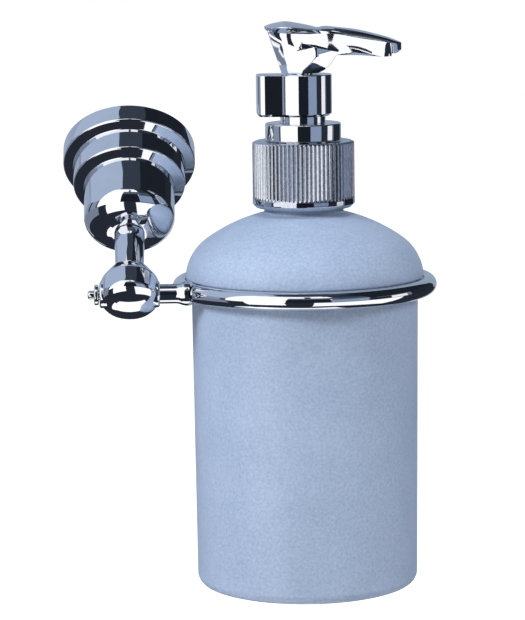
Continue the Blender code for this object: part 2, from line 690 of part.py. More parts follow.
def pump_housing(parent, plastic):
    """Flanged cylinder with a ball cage below it and a socket for the dip tube."""
    socket = TUBE_RADIUS + SEAT_GAP
    cage_outer = max(CAGE_RADIUS, socket) + CAGE_WALL
    outline = [
        (socket, HOUSING_BOTTOM),
        (cage_outer, HOUSING_BOTTOM),
        (cage_outer, CAGE_BOTTOM),
        (HOUSING_RADIUS, CAGE_TOP),
        (HOUSING_RADIUS, FLANGE_BOTTOM),
        (FLANGE_RADIUS, FLANGE_BOTTOM),
        (FLANGE_RADIUS, FLANGE_TOP),
        (HOUSING_BORE, FLANGE_TOP),
        (HOUSING_BORE, CAGE_TOP),
        (CAGE_RADIUS, CAGE_TOP),
        (CAGE_RADIUS, CAGE_BOTTOM),
        (SEAT_BORE_RADIUS, CAGE_BOTTOM),
        (SEAT_BORE_RADIUS, SOCKET_TOP),
        (socket, SOCKET_TOP),
    ]
    make("pump_housing", turned(outline, SMALL_SIDES), plastic, parent)


def inlet_ball(parent, steel):
    """Check ball on its seat."""
    centre = CAGE_BOTTOM + SEAT_GAP + BALL_RADIUS
    bm = bmesh.new()
    bmesh.ops.create_uvsphere(bm, u_segments=ROD_SIDES, v_segments=8, radius=BALL_RADIUS)
    make("inlet_ball", bm, steel, parent, (0, 0, centre))


def dip_tube(parent, plastic):
    bottom = FLOOR_HEIGHT + TUBE_FLOOR_GAP
    wall = tube(TUBE_RADIUS, TUBE_RADIUS - TUBE_WALL, bottom, SOCKET_TOP - SEAT_GAP, FINE_SIDES)
    make("dip_tube", wall, plastic, parent)


def piston(parent, rubber):
    """Piston seal with a lip at each end, on the stem's foot."""
    lip = HOUSING_BORE - RUN_GAP
    waist = lip - PISTON_WAIST
    hole = STEM_FOOT_RADIUS + SEAT_GAP
    outline = [
        (hole, PISTON_BOTTOM),
        (lip, PISTON_BOTTOM),
        (lip, PISTON_BOTTOM + PISTON_LIP),
        (waist, PISTON_BOTTOM + 2 * PISTON_LIP),
        (waist, PISTON_TOP - 2 * PISTON_LIP),
        (lip, PISTON_TOP - PISTON_LIP),
        (lip, PISTON_TOP),
        (hole, PISTON_TOP),
    ]
    make("piston", turned(outline, SMALL_SIDES), rubber, parent)


def stem(parent, plastic):
    """Hollow stem from the piston up into the head."""
    bottom = PISTON_BOTTOM
    outline = [
        (STEM_BORE_RADIUS, bottom),
        (STEM_FOOT_RADIUS, bottom),
        (STEM_FOOT_RADIUS, PISTON_TOP + SEAT_GAP),
        (STEM_RADIUS, PISTON_TOP + SEAT_GAP),
        (STEM_RADIUS, STEM_TOP),
        (STEM_BORE_RADIUS, STEM_TOP),
    ]
    make("stem", turned(outline, SMALL_SIDES), plastic, parent)


def return_spring(parent, steel):
    """Compression spring between the housing's ledge and the piston, as one coiled wire."""
    low = SPRING_BOTTOM + SPRING_WIRE_RADIUS
    high = SPRING_TOP - SPRING_WIRE_RADIUS
    count = SPRING_TURNS * ROD_SIDES
    curve = bpy.data.curves.new("return_spring", "CURVE")
    curve.dimensions = "3D"
    curve.bevel_depth = SPRING_WIRE_RADIUS
    curve.bevel_resolution = 1
    curve.use_fill_caps = True
    wire = curve.splines.new("POLY")
    wire.points.add(count)
    for i, point in enumerate(wire.points):
        a = 2 * math.pi * i / ROD_SIDES
        height = low + (high - low) * i / count
        point.co = (SPRING_RADIUS * math.cos(a), SPRING_RADIUS * math.sin(a), height, 1)
    curve.materials.append(steel)
    obj = bpy.data.objects.new("return_spring", curve)
    obj.parent = parent
    bpy.context.collection.objects.link(obj)


def lock_sleeve(parent, chrome):
    """Plated sleeve under the head that screws into the chaplet to lock the pump down."""
    bore = STEM_RADIUS + SEAT_GAP
    sleeve = tube(SLEEVE_RADIUS, bore, SLEEVE_BOTTOM, SLEEVE_TOP, MEDIUM_SIDES)
    make("lock_sleeve", sleeve, chrome, parent)


def head_skirt(parent, chrome):
    """Round skirt with a square lug behind, bored for the sleeve, the stem and the spout's peg."""
    meet = 180 - math.degrees(math.asin(LUG_HALF_WIDTH / SKIRT_RADIUS))
    plan = arc((0, 0), SKIRT_RADIUS, -meet, meet, SMALL_SIDES)
    corner = (LUG_CORNER - LUG_REACH, LUG_HALF_WIDTH - LUG_CORNER)
    plan += arc(corner, LUG_CORNER, 90, 180, 4)
    plan += arc((corner[0], -corner[1]), LUG_CORNER, 180, 270, 4)
    bm = bmesh.new()
    base = bm.faces.new([bm.verts.new((x, y, SKIRT_BOTTOM)) for x, y in plan])
    lifted = bmesh.ops.extrude_face_region(bm, geom=[base], use_keep_orig=True)
    top = [v for v in lifted["geom"] if isinstance(v, bmesh.types.BMVert)]
    bmesh.ops.translate(bm, verts=top, vec=(0, 0, SKIRT_HEIGHT))
    rim = [e for e in bm.edges if all(v.co.z < SKIRT_BOTTOM + WELD_DISTANCE for v in e.verts)]
    bmesh.ops.bevel(bm, geom=rim, offset=SKIRT_CHAMFER, segments=1, profile=0.5, affect="EDGES")
    skirt = make("head_skirt", bm, chrome, parent)
    peg = FOOT_PEG_RADIUS + SEAT_GAP
    bore = STEM_RADIUS + SEAT_GAP
    sleeve = SLEEVE_RADIUS + SEAT_GAP
    cavity = [
        (0, SKIRT_BOTTOM - CUT_OVERRUN),
        (sleeve, SKIRT_BOTTOM - CUT_OVERRUN),
        (sleeve, SLEEVE_TOP + SEAT_GAP),
        (bore, SLEEVE_TOP + SEAT_GAP),
        (bore, STEM_TOP + SEAT_GAP),
        (peg, STEM_TOP + SEAT_GAP),
        (peg, SKIRT_TOP + CUT_OVERRUN),
        (0, SKIRT_TOP + CUT_OVERRUN),
    ]
    combine(skirt, make("skirt_cavity", turned(cavity, MEDIUM_SIDES), None, parent), "DIFFERENCE")


def head_spout(parent, chrome):
    """Spout casting: a leaf-shaped thumb pad that runs out into a beak, on a tapering pylon."""
    foot = SKIRT_TOP + SEAT_GAP
    sections = []
    for behind, rows in ((True, PAD_SHARES), (False, SPOUT_SHARES)):
        for reach, ridge, high, edge, keel, high_width, edge_width in rows:
            x = reach * (TAIL_REACH if reach < 0 else SPOUT_REACH)
            half = PAD_HALF_WIDTH if behind else SPOUT_HALF_WIDTH
            right = [
                (x, -half * high_width, foot + SPOUT_HEIGHT * high),
                (x, -half * edge_width, foot + SPOUT_HEIGHT * edge),
                (x, -half * edge_width * 0.9, foot + SPOUT_HEIGHT * keel),
            ]
            left = [(a, -b, c) for a, b, c in reversed(right)]
            sections.append([(x, 0, foot + SPOUT_HEIGHT * ridge)] + right + left)
    beak = make("head_spout", lofted(sections), chrome, parent)

    levels = []
    for section in PYLON_SHARES:
        near = []
        for reach, width, height in section:
            x = reach * (TAIL_REACH if reach < 0 else SPOUT_REACH)
            near.append((x, -PYLON_HALF_WIDTH * width, foot + SPOUT_HEIGHT * height))
        levels.append(near + [(x, -y, z) for x, y, z in reversed(near[1:])])
    pylon = make("pylon", lofted(levels), None, parent)
    peg = rod(FOOT_PEG_RADIUS, foot - FOOT_PEG_LENGTH, foot + CUT_OVERRUN, FINE_SIDES)
    combine(pylon, make("foot_peg", peg, None, parent), "UNION")
    combine(beak, pylon, "UNION")
    outlet = rod(OUTLET_RADIUS, -OUTLET_DEPTH, CUT_OVERRUN + OUTLET_RADIUS, ROD_SIDES)
    height = foot + SPOUT_HEIGHT * (SPOUT_SHARES[-1][3] + SPOUT_SHARES[-1][4]) / 2
    at = (SPOUT_REACH, 0, height)
    combine(beak, make("outlet", outlet, None, parent, at, (0, math.pi / 2, 0)), "DIFFERENCE")


def build():
    clear_scene()
    chrome = finish("polished chrome", (0.78, 0.80, 0.84), 1.0, 0.05)
    glass = finish("frosted glass", (0.62, 0.69, 0.80), 0.0, 0.45, 0.6)
    steel = finish("stainless steel", (0.55, 0.56, 0.58), 1.0, 0.3)
    plastic = finish("natural polypropylene", (0.82, 0.84, 0.86), 0.0, 0.4)
    rubber = finish("grey seal rubber", (0.16, 0.17, 0.18), 0.0, 0.6)

    wall = axis_empty("wall_axis", None, (0, 0, 0), (math.pi / 2 + TILT, 0, 0))
    wall_plate(wall, steel)
    rosette(wall, chrome)
    grub_screw(wall, steel)
    post(wall, chrome)
    post_screw(wall, steel)
    knuckle(wall, chrome)
    clamp_screw(wall, steel)

    arm_axis = axis_empty("arm_axis", None, KNUCKLE)
    arm(arm_axis, chrome)
    ring_axis = axis_empty("ring_axis", None, RING_CENTRE)
    bottle_ring(ring_axis, chrome)
    bottle(ring_axis, glass)

    pump_axis = axis_empty("pump_axis", None, RING_CENTRE)
    neck_gasket(pump_axis, rubber)
    collar(pump_axis, chrome)
    collar_liner(pump_axis, plastic)
    chaplet(pump_axis, chrome)
    pump_housing(pump_axis, plastic)
    inlet_ball(pump_axis, steel)
    dip_tube(pump_axis, plastic)
    piston(pump_axis, rubber)
    stem(pump_axis, plastic)
    return_spring(pump_axis, steel)
    lock_sleeve(pump_axis, chrome)
    head_skirt(pump_axis, chrome)
    head_spout(pump_axis, chrome)


build()
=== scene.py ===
"""Wall-mounted frosted glass soap dispenser with a locking pump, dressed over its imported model.

Sizes in the making functions are millimetres. Every piece is turned or cast about one of four axes
and is then put in place in its mesh, so each object sits at the origin.
"""

import math

import bmesh
import bpy
from mathutils import Matrix, Vector


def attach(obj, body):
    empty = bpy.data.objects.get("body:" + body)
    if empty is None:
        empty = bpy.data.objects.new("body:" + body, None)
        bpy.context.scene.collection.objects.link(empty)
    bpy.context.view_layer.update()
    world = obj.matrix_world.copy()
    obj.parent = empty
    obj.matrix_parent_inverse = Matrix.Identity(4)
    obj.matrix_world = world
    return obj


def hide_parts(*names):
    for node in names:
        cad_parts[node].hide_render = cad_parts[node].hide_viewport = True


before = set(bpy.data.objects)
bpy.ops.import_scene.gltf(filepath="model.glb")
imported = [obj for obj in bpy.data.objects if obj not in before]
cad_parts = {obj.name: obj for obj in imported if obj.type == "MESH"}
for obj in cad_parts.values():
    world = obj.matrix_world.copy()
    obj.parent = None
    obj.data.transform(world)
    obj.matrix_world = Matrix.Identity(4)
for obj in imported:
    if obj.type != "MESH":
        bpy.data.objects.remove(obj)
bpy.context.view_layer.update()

MM = 0.001

# The rosette's axis points 42.5 degrees below the horizon; the arm is clamped 62 mm out along it
TILT = math.radians(42.5)
REACH = 62
KNUCKLE = Vector((0, -REACH * math.cos(TILT), -REACH * math.sin(TILT))) * MM
RING_CENTRE = KNUCKLE + Vector((56.6, 17, 0)) * MM

# The two turns that cross holes and rods take, and the four axes that pieces are made about
UNDERSIDE = Matrix.Rotation(math.pi / 2, 4, "X")
ALONG_X = Matrix.Rotation(math.pi / 2, 4, "Y")
WALL_AXIS = Matrix.Rotation(math.pi / 2 + TILT, 4, "X")
KNUCKLE_AXIS = WALL_AXIS @ Matrix.Translation((0, 0, REACH * MM))
ARM_AXIS = Matrix.Translation(KNUCKLE) @ ALONG_X
PUMP_AXIS = Matrix.Translation(RING_CENTRE)

# The ring's centre line, its rod, and the seat that the bottle and the arm leave for the rod
RING_RADIUS, ROD_RADIUS, ROD_SEAT = 40, 2.9, 3.2
# The grub screw's height over the wall, and its axis
GRUB_LIFT = Matrix.Translation((0, 0, 2.1 * MM))
# The bottle's neck, and the ribs rolled into the collar over it
NECK_RADIUS = 12.8
RIB_COUNT, RIB_FOOT, RIB_DEPTH = 72, 28.4, 0.5


# ---------------------------------------------------------------- finishes


def paint(hex_colour):
    """An sRGB hex colour as the linear RGBA that a socket takes."""
    parts = [int(hex_colour[i : i + 2], 16) / 255 for i in (1, 3, 5)]
    return (*[p / 12.92 if p <= 0.04045 else ((p + 0.055) / 1.055) ** 2.4 for p in parts], 1.0)


def node(tree, kind, values=None, **settings):
    """Adds a node. Values go to its inputs, as numbers or as the sockets that feed them."""
    made = tree.nodes.new(kind)
    for key, value in settings.items():
        setattr(made, key, value)
    for key, value in (values or {}).items():
        if isinstance(value, bpy.types.NodeSocket):
            tree.links.new(value, made.inputs[key])
        else:
            made.inputs[key].default_value = value
    return made


def two_tones(tree, factor, low, high):
    """A colour ramp between two sRGB hex colours, over the middle that noise keeps to."""
    ramp = node(tree, "ShaderNodeValToRGB", {"Fac": factor})
    first, last = ramp.color_ramp.elements
    first.position, first.color = 0.3, paint(low)
    last.position, last.color = 0.7, paint(high)
    return ramp.outputs["Color"]


def new_finish(name):
    """An empty Principled material, with the piece's own coordinates to draw patterns on."""
    material = bpy.data.materials.new(name)
    material.use_nodes = True
    tree = material.node_tree
    place = node(tree, "ShaderNodeTexCoord").outputs["Object"]
    return material, tree, tree.nodes["Principled BSDF"], place


def grain(tree, place, size, detail=2.0):
    """Noise whose blotches are about this many millimetres across, as a socket from 0 to 1."""
    values = {"Vector": place, "Scale": 1000 / size, "Detail": detail}
    return node(tree, "ShaderNodeTexNoise", values).outputs["Fac"]


def spread(tree, factor, low, high):
    """A 0 to 1 socket mapped on to a range, such as a roughness."""
    values = {"Value": factor, "To Min": low, "To Max": high}
    return node(tree, "ShaderNodeMapRange", values).outputs["Result"]


def relief(tree, height, depth, strength):
    """Bump of this depth in millimetres."""
    values = {"Height": height, "Distance": depth * MM, "Strength": strength}
    return node(tree, "ShaderNodeBump", values).outputs["Normal"]


def polished_chrome():
    """Bright chromium plate on buffed brass: a blue-white mirror with a faint wave from the buff."""
    material, tree, shader, place = new_finish("polished_chrome_plate")
    wave = grain(tree, place, 9.0)
    haze = grain(tree, place, 1.5)
    tree.links.new(two_tones(tree, wave, "#DCDFE4", "#E2E4E9"), shader.inputs["Base Color"])
    tree.links.new(spread(tree, haze, 0.025, 0.05), shader.inputs["Roughness"])
    tree.links.new(relief(tree, wave, 0.02, 0.1), shader.inputs["Normal"])
    shader.inputs["Metallic"].default_value = 1.0
    return material


def painted_shade_ribbed_chrome():
    """The same plate over rolled ribs, which stay duller than the buffed band at their foot. Its
    colour is painted darker than the polished plate's, as painted shade among the ribs.
    """
    material, tree, shader, place = new_finish("ribbed_chrome_plate")
    # The roller's marks are finer than 0.1 mm; they are drawn 1 mm coarse so that they show
    haze = grain(tree, place, 1.0, 3.0)
    height = node(tree, "ShaderNodeSeparateXYZ", {"Vector": place}).outputs["Z"]
    foot = RING_CENTRE.z + RIB_FOOT * MM
    over_foot = {"Value": height, "From Min": foot, "From Max": foot + 0.4 * MM}
    ribs = node(tree, "ShaderNodeMapRange", over_foot).outputs["Result"]
    dull = spread(tree, haze, 0.18, 0.26)
    rough = node(tree, "ShaderNodeMix", {"Factor": ribs, "A": 0.035, "B": dull})
    # The colour is painted darker than the polished plate's all over the collar: painted shade for
    # the dark that the ribs show
    tree.links.new(two_tones(tree, haze, "#B4B9C3", "#C8CCD5"), shader.inputs["Base Color"])
    tree.links.new(rough.outputs["Result"], shader.inputs["Roughness"])
    tree.links.new(relief(tree, haze, 0.01, 0.1), shader.inputs["Normal"])
    shader.inputs["Metallic"].default_value = 1.0
    return material


def etched_glass():
    """Soda-lime glass, blown and acid-etched: matt, blue-grey, fine-grained, with a waxy sheen."""
    material, tree, shader, place = new_finish("acid_etched_glass")
    # The etch is finer than 0.05 mm; it is drawn 0.9 mm coarse so that it shows
    etch = grain(tree, place, 0.9, 3.0)
    cloud = grain(tree, place, 14.0)
    both = node(tree, "ShaderNodeMix", {"Factor": 0.25, "A": etch, "B": cloud}).outputs["Result"]
    tree.links.new(two_tones(tree, both, "#8799B6", "#A0B1CC"), shader.inputs["Base Color"])
    tree.links.new(spread(tree, etch, 0.4, 0.52), shader.inputs["Roughness"])
    tree.links.new(relief(tree, etch, 0.03, 0.25), shader.inputs["Normal"])
    shader.inputs["IOR"].default_value = 1.52
    shader.inputs["Transmission Weight"].default_value = 0.06
    return material


def bright_stainless():
    """A2 stainless steel, turned and tumbled: grey-white, softly brushed round its edges."""
    material, tree, shader, place = new_finish("tumbled_stainless_steel")
    # Tumbling leaves marks finer than 0.1 mm; they are drawn 0.4 mm coarse so that they show
    scratch = grain(tree, place, 0.4, 4.0)
    patch = grain(tree, place, 3.0)
    tree.links.new(two_tones(tree, patch, "#B9BBBD", "#C9CBCC"), shader.inputs["Base Color"])
    tree.links.new(spread(tree, scratch, 0.18, 0.34), shader.inputs["Roughness"])
    tree.links.new(relief(tree, scratch, 0.01, 0.2), shader.inputs["Normal"])
    shader.inputs["Metallic"].default_value = 1.0
    return material


def moulded_polypropylene():
    """Natural polypropylene, injection moulded: milky, a little see-through, satin."""
    material, tree, shader, place = new_finish("natural_polypropylene_moulded")
    # The tool's spark-eroded finish is 0.05 mm coarse; it is drawn 0.5 mm coarse so that it shows
    spark = grain(tree, place, 0.5, 3.0)
    milk = grain(tree, place, 6.0)
    tree.links.new(two_tones(tree, milk, "#D9DEE2", "#E8EBED"), shader.inputs["Base Color"])
    tree.links.new(spread(tree, spark, 0.32, 0.46), shader.inputs["Roughness"])
    tree.links.new(relief(tree, spark, 0.015, 0.2), shader.inputs["Normal"])
    shader.inputs["IOR"].default_value = 1.49
    shader.inputs["Subsurface Weight"].default_value = 0.3
    shader.inputs["Subsurface Scale"].default_value = 0.002
    return material


def seal_rubber():
    """Nitrile rubber, compression moulded: dark grey, dull, with a dusty bloom."""
    material, tree, shader, place = new_finish("nitrile_seal_rubber")
    # The bloom is as fine as dust; it is drawn 0.8 mm coarse so that it shows
    bloom = grain(tree, place, 0.8, 4.0)
    tree.links.new(two_tones(tree, bloom, "#34373A", "#45484B"), shader.inputs["Base Color"])
    tree.links.new(spread(tree, bloom, 0.55, 0.75), shader.inputs["Roughness"])
    tree.links.new(relief(tree, bloom, 0.02, 0.3), shader.inputs["Normal"])
    shader.inputs["IOR"].default_value = 1.52
    return material


# ---------------------------------------------------------------- making


def arc(centre, across, rise, start, end, steps=24):
    """Corners along an ellipse round (radius, height), angles in degrees from outward."""
    angles = [math.radians(start + (end - start) * i / steps) for i in range(steps + 1)]
    return [(centre[0] + across * math.cos(a), centre[1] + rise * math.sin(a)) for a in angles]


def turned(outline, steps=128):
    """Spins (radius, height[, rounding]) corners about Z. The outline closes or ends on Z."""
    bm = bmesh.new()
    verts = [bm.verts.new((corner[0] * MM, 0, corner[1] * MM)) for corner in outline]
    for a, b in zip(verts, verts[1:]):
        bm.edges.new((a, b))
    if outline[0][0] or outline[-1][0]:
        bm.edges.new((verts[-1], verts[0]))
    for vert, corner in zip(verts, outline):
        if len(corner) > 2:
            bmesh.ops.bevel(
                bm,
                geom=[vert],
                offset=corner[2] * MM,
                offset_type="OFFSET",
                segments=5,
                profile=0.5,
                affect="VERTICES",
                material=-1,
            )
    bmesh.ops.spin(
        bm,
        geom=bm.verts[:] + bm.edges[:],
        cent=(0, 0, 0),
        axis=(0, 0, 1),
        angle=2 * math.pi,
        steps=steps,
        use_merge=True,
    )
    bmesh.ops.remove_doubles(bm, verts=bm.verts, dist=1e-7)
    bmesh.ops.recalc_face_normals(bm, faces=bm.faces)
    return bm


def drill(radius, low, high, steps):
    """A plain round cutter along Z."""
    return turned([(0, low), (radius, low), (radius, high), (0, high)], steps)


def moved(bm, matrix):
    """The same bmesh, put elsewhere."""
    bmesh.ops.transform(bm, matrix=matrix, verts=bm.verts)
    return bm


def joined(*parts):
    """Several bmeshes as one."""
    whole = bmesh.new()
    for bm in parts:
        mesh = bpy.data.meshes.new("part")
        bm.to_mesh(mesh)
        bm.free()
        whole.from_mesh(mesh)
        bpy.data.meshes.remove(mesh)
    return whole


def carved(base, tool, operation="DIFFERENCE"):
    """The base with the tool cut out of it, or welded on to it."""
    blanks = []
    for bm in (base, tool):
        mesh = bpy.data.meshes.new("blank")
        bm.to_mesh(mesh)
        bm.free()
        blanks.append(bpy.data.objects.new("blank", mesh))
        bpy.context.collection.objects.link(blanks[-1])
    cut = blanks[0].modifiers.new("cut", "BOOLEAN")
    cut.operation, cut.solver, cut.object = operation, "EXACT", blanks[1]
    done = bmesh.new()
    done.from_mesh(blanks[0].evaluated_get(bpy.context.evaluated_depsgraph_get()).to_mesh())
    for blank in blanks:
        bpy.data.meshes.remove(blank.data)
    return done


def placed(name, bm, finish):
    """An object at the origin with this mesh and finish."""
    mesh = bpy.data.meshes.new(name)
    bm.to_mesh(mesh)
    bm.free()
    mesh.materials.append(finish)
    obj = bpy.data.objects.new(name, mesh)
    bpy.context.collection.objects.link(obj)
    return obj


def piece(name, bm, axis, finish, body, slot, *nodes, sharp=32):
    """A finished piece in its place, which rides on a body and stands for its nodes."""
    obj = placed(name, moved(bm, axis), finish)
    obj.data.shade_smooth()
    obj.data.set_sharp_from_angle(angle=math.radians(sharp))
    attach(obj, body)
    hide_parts(*nodes)


def thread(radius, height, low, pitch, turns):
    """A screw thread's ridge, as one helical bar that is sunk in its wall."""
    half, sunk, steps_per_turn = 0.55, 0.3, 48
    crest = half * 0.35
    bm = bmesh.new()
    verts = [
        bm.verts.new(((radius + out) * MM, 0, (low + up) * MM))
        for out, up in ((-sunk, -half), (height, -crest), (height, crest), (-sunk, half))
    ]
    first = bm.faces.new(verts)
    steps = round(turns * steps_per_turn)
    done = bmesh.ops.spin(
        bm,
        geom=[first],
        cent=(0, 0, 0),
        axis=(0, 0, 1),
        dvec=(0, 0, pitch * turns * MM / steps),
        angle=2 * math.pi * turns,
        steps=steps,
    )
    # Both ends run out into the wall
    for end in (verts, [v for v in done["geom_last"] if isinstance(v, bmesh.types.BMVert)]):
        for v in end:
            v.co.xy *= (radius - 0.2) * MM / v.co.xy.length
    bmesh.ops.recalc_face_normals(bm, faces=bm.faces)
    return bm


def hex_socket(radius, low, high):
    """A cutter for a hexagon socket."""
    bm = bmesh.new()
    bmesh.ops.create_cone(
        bm,
        cap_ends=True,
        segments=6,
        radius1=radius * MM,
        radius2=radius * MM,
        depth=(high - low) * MM,
    )
    return moved(bm, Matrix.Translation((0, 0, (low + high) / 2 * MM)))


# ---------------------------------------------------------------- wall side


def wall_plate(steel):
    """Turned plate with a raised rim and two countersunk holes, 19 mm apart."""
    outline = [
        (0, 0),
        (17.6, 0, 0.3),
        (17.6, 4.2, 0.3),
        (16.0, 4.2, 0.3),
        (16.0, 2.0, 0.6),
        (0, 2.0),
    ]
    plate = turned(outline, 96)
    for x in (-9.5, 9.5):
        sink = turned([(0, -1), (2.6, -1), (2.6, 0.9), (3.9, 2.1), (3.9, 3.0), (0, 3.0)], 32)
        plate = carved(plate, moved(sink, Matrix.Translation((x * MM, 0, 0))))
    piece(
        "wall_plate_dressed",
        plate,
        WALL_AXIS,
        steel,
        "wall_side",
        "stainless_steel",
        "wall_plate",
    )


def rosette(chrome):
    """Stepped, bell-shaped cover with an open dome and a hole for its grub screw."""
    dome, inside, flat = 14.8, 13.2, 5.5
    outline = [
        (20.2, 0, 0.1),
        (21.8, 0, 0.2),
        (21.8, 6.4, 0.5),
        (18.4, 7.5, 0.25),
        (18.4, 15.5, 0.5),
        (dome, 16.7, 0.25),
        *arc((0, 29.6), dome, 7.8, 0, math.degrees(math.acos(flat / dome)), 32),
        (2.8, 36.84),
        (2.8, 33.96),
        *arc((0, 29.6), inside, 4.8, math.degrees(math.acos(flat / inside)), 0, 10),
        (inside, 13.9),
        (16.8, 13.9),
        (16.8, 4.8),
        (20.2, 4.8),
    ]
    hole = moved(drill(1.8, 17.5, 23, 32), GRUB_LIFT @ UNDERSIDE)
    cover = carved(turned(outline, 160), hole)
    piece("rosette_cover", cover, WALL_AXIS, chrome, "wall_side", "polished_chrome", "rosette")


def set_screw(name, radius, tip, end, axis, steel, node_name):
    """Flat-point set screw with a hexagon socket."""
    point = radius * 0.5
    outline = [
        (0, tip),
        (point, tip, 0.1),
        (radius, tip + point, 0.1),
        (radius, end, 0.15),
        (0, end),
    ]
    screw = carved(turned(outline, 32), hex_socket(0.85, end - 1.2, end + 1))
    piece(name, screw, axis @ UNDERSIDE, steel, "wall_side", "stainless_steel", node_name)


def post(chrome):
    """Tapered post with a spigot for the knuckle, bored from the rosette's side for its screw."""
    outline = [
        (2.8, 37.14),
        (5.0, 37.14, 0.15),
        (4.5, 52.8, 0.12),
        (2.6, 52.8),
        (2.6, 56.8, 0.2),
        (0, 56.8),
        (0, 42.26),
        (2.8, 42.26),
    ]
    piece(
        "post_turned",
        turned(outline, 96),
        WALL_AXIS,
        chrome,
        "wall_side",
        "polished_chrome",
        "post",
    )


def post_screw(steel):
    """Socket screw and washer inside the rosette."""
    outline = [(2.8, 32.66, 0.1), (5.0, 32.66, 0.2), (5.0, 33.66, 0.2), (2.8, 33.66, 0.1)]
    washer = turned(outline, 64)
    piece(
        "post_washer_flat",
        washer,
        WALL_AXIS,
        steel,
        "wall_side",
        "stainless_steel",
        "post_washer",
    )
    outline = [
        (0, 29.36),
        (4.2, 29.36, 0.3),
        (4.2, 32.36, 0.1),
        (2.5, 32.36),
        (2.5, 41.96, 0.3),
        (0, 41.96),
    ]
    screw = carved(turned(outline, 64), hex_socket(2.0, 28, 30.96))
    piece(
        "post_screw_socket",
        screw,
        WALL_AXIS,
        steel,
        "wall_side",
        "stainless_steel",
        "post_screw",
    )


def knuckle(chrome):
    """Cone, belt and dome with a cross boss, bored for the arm, the post and the set screw."""
    belt = 9.4
    outline = [
        (0, -8.9),
        (6.5, -8.9, 0.35),
        (belt, -4.3, 0.7),
        *arc((0, 1.6), belt, 4.3, 0, 90, 28)[:-1],
        (0, 5.9),
    ]
    boss = turned([(0, -9.6), (4.3, -9.6, 0.7), (4.3, 9.6, 0.7), (0, 9.6)], 96)
    body = carved(turned(outline, 160), moved(boss, ALONG_X), "UNION")
    body = carved(body, moved(drill(3.45, -11, 11, 96), ALONG_X))
    body = carved(body, drill(2.9, -10, -4.9, 48))
    body = carved(body, moved(drill(1.9, 1, 11, 48), UNDERSIDE))
    piece("knuckle_cast", body, KNUCKLE_AXIS, chrome, "wall_side", "polished_chrome", "knuckle")


# ---------------------------------------------------------------- arm


def ring_section(radius):
    """The round section of the ring's rod, or of its seat."""
    return arc((RING_RADIUS, 0), radius, radius, 0, 352.5, 47)


def arm(chrome):
    """Rod through the knuckle, coped to the ring with a braze bead, and the cap on its end."""
    rod = turned(
        [
            (0, -10.8),
            (1.6, -10.8, 0.2),
            (1.6, -9.6),
            (3.15, -9.6, 0.2),
            (3.15, 15.4, 1.0),
            (3.9, 17.2, 0.6),
            (3.9, 19.4, 0.6),
            (3.15, 20.2, 0.3),
            (3.15, 22.0),
            (0, 22.0),
        ],
        96,
    )
    cope = moved(turned(ring_section(ROD_SEAT), 200), ARM_AXIS.inverted() @ PUMP_AXIS)
    rod = carved(rod, cope)
    piece("arm_rod_coped", rod, ARM_AXIS, chrome, "arm", "polished_chrome", "arm_rod")
    cap = turned(
        [
            (0, -13.4),
            (1.4, -13.4, 0.7),
            (1.4, -11.3),
            (3.3, -11.3, 0.4),
            (3.3, -9.9, 0.4),
            (1.9, -9.9),
            (1.9, -11.1),
            (0, -11.1),
        ],
        96,
    )
    piece("end_cap_turned", cap, ARM_AXIS, chrome, "arm", "polished_chrome", "end_cap")


def bottle_ring(chrome):
    """Closed ring of round rod."""
    ring = turned(ring_section(ROD_RADIUS), 256)
    piece("ring_rod", ring, PUMP_AXIS, chrome, "arm", "polished_chrome", "bottle_ring")


# ---------------------------------------------------------------- bottle


def crown(radius, rounding, sphere, neck, centre, steps):
    """The shoulder from its widest point to the neck: a rounding, then the crown's sphere."""
    across = radius - rounding
    rise = math.sqrt((sphere - rounding) ** 2 - across**2)
    meet = math.degrees(math.atan2(rise, across))
    top = math.degrees(math.acos(neck / sphere))
    points = arc((across, centre + rise), rounding, rounding, 0, meet, steps)
    return points + arc((0, centre), sphere, sphere, meet, top, steps)[1:]


def bottle(glass):
    """Tapered body, shoulder that hangs over the ring, low crown and threaded neck."""
    sphere, wall, neck_foot, neck_bore, hang = 55.3, 3, 23.7, 9.8, 3.9
    centre = neck_foot - math.sqrt(sphere**2 - NECK_RADIUS**2)
    shoulder = crown(38.7, 16, sphere, NECK_RADIUS, centre, 36)
    outer = [point for point in shoulder if point[1] > hang]
    inner = crown(33.75, 13, sphere - wall, neck_bore, centre, 16)
    outline = [
        (0, -97.3),
        (28.6, -97.3, 1.2),
        *arc((32.6, -95.0), 3.5, 3.5, -90, 0, 16),
        (36.75, -2.9, 0.3),
        *arc((RING_RADIUS, 0), ROD_SEAT, ROD_SEAT, 180, 118, 12),
        (38.66, 3.1, 0.35),
        *outer[:-1],
        (NECK_RADIUS, neck_foot, 0.8),
        (NECK_RADIUS, 40.5, 0.6),
        (neck_bore, 40.5, 0.4),
        *inner[::-1],
        *arc((29.6, -89.0), 3.5, 3.5, 0, -90, 10),
        (0, -92.5),
    ]
    body = joined(turned(outline, 192), thread(NECK_RADIUS, 0.6, low=29.0, pitch=3.2, turns=2.6))
    piece("bottle_blown", body, PUMP_AXIS, glass, "bottle_body", "frosted_glass", "bottle")


# ---------------------------------------------------------------- closure and pump


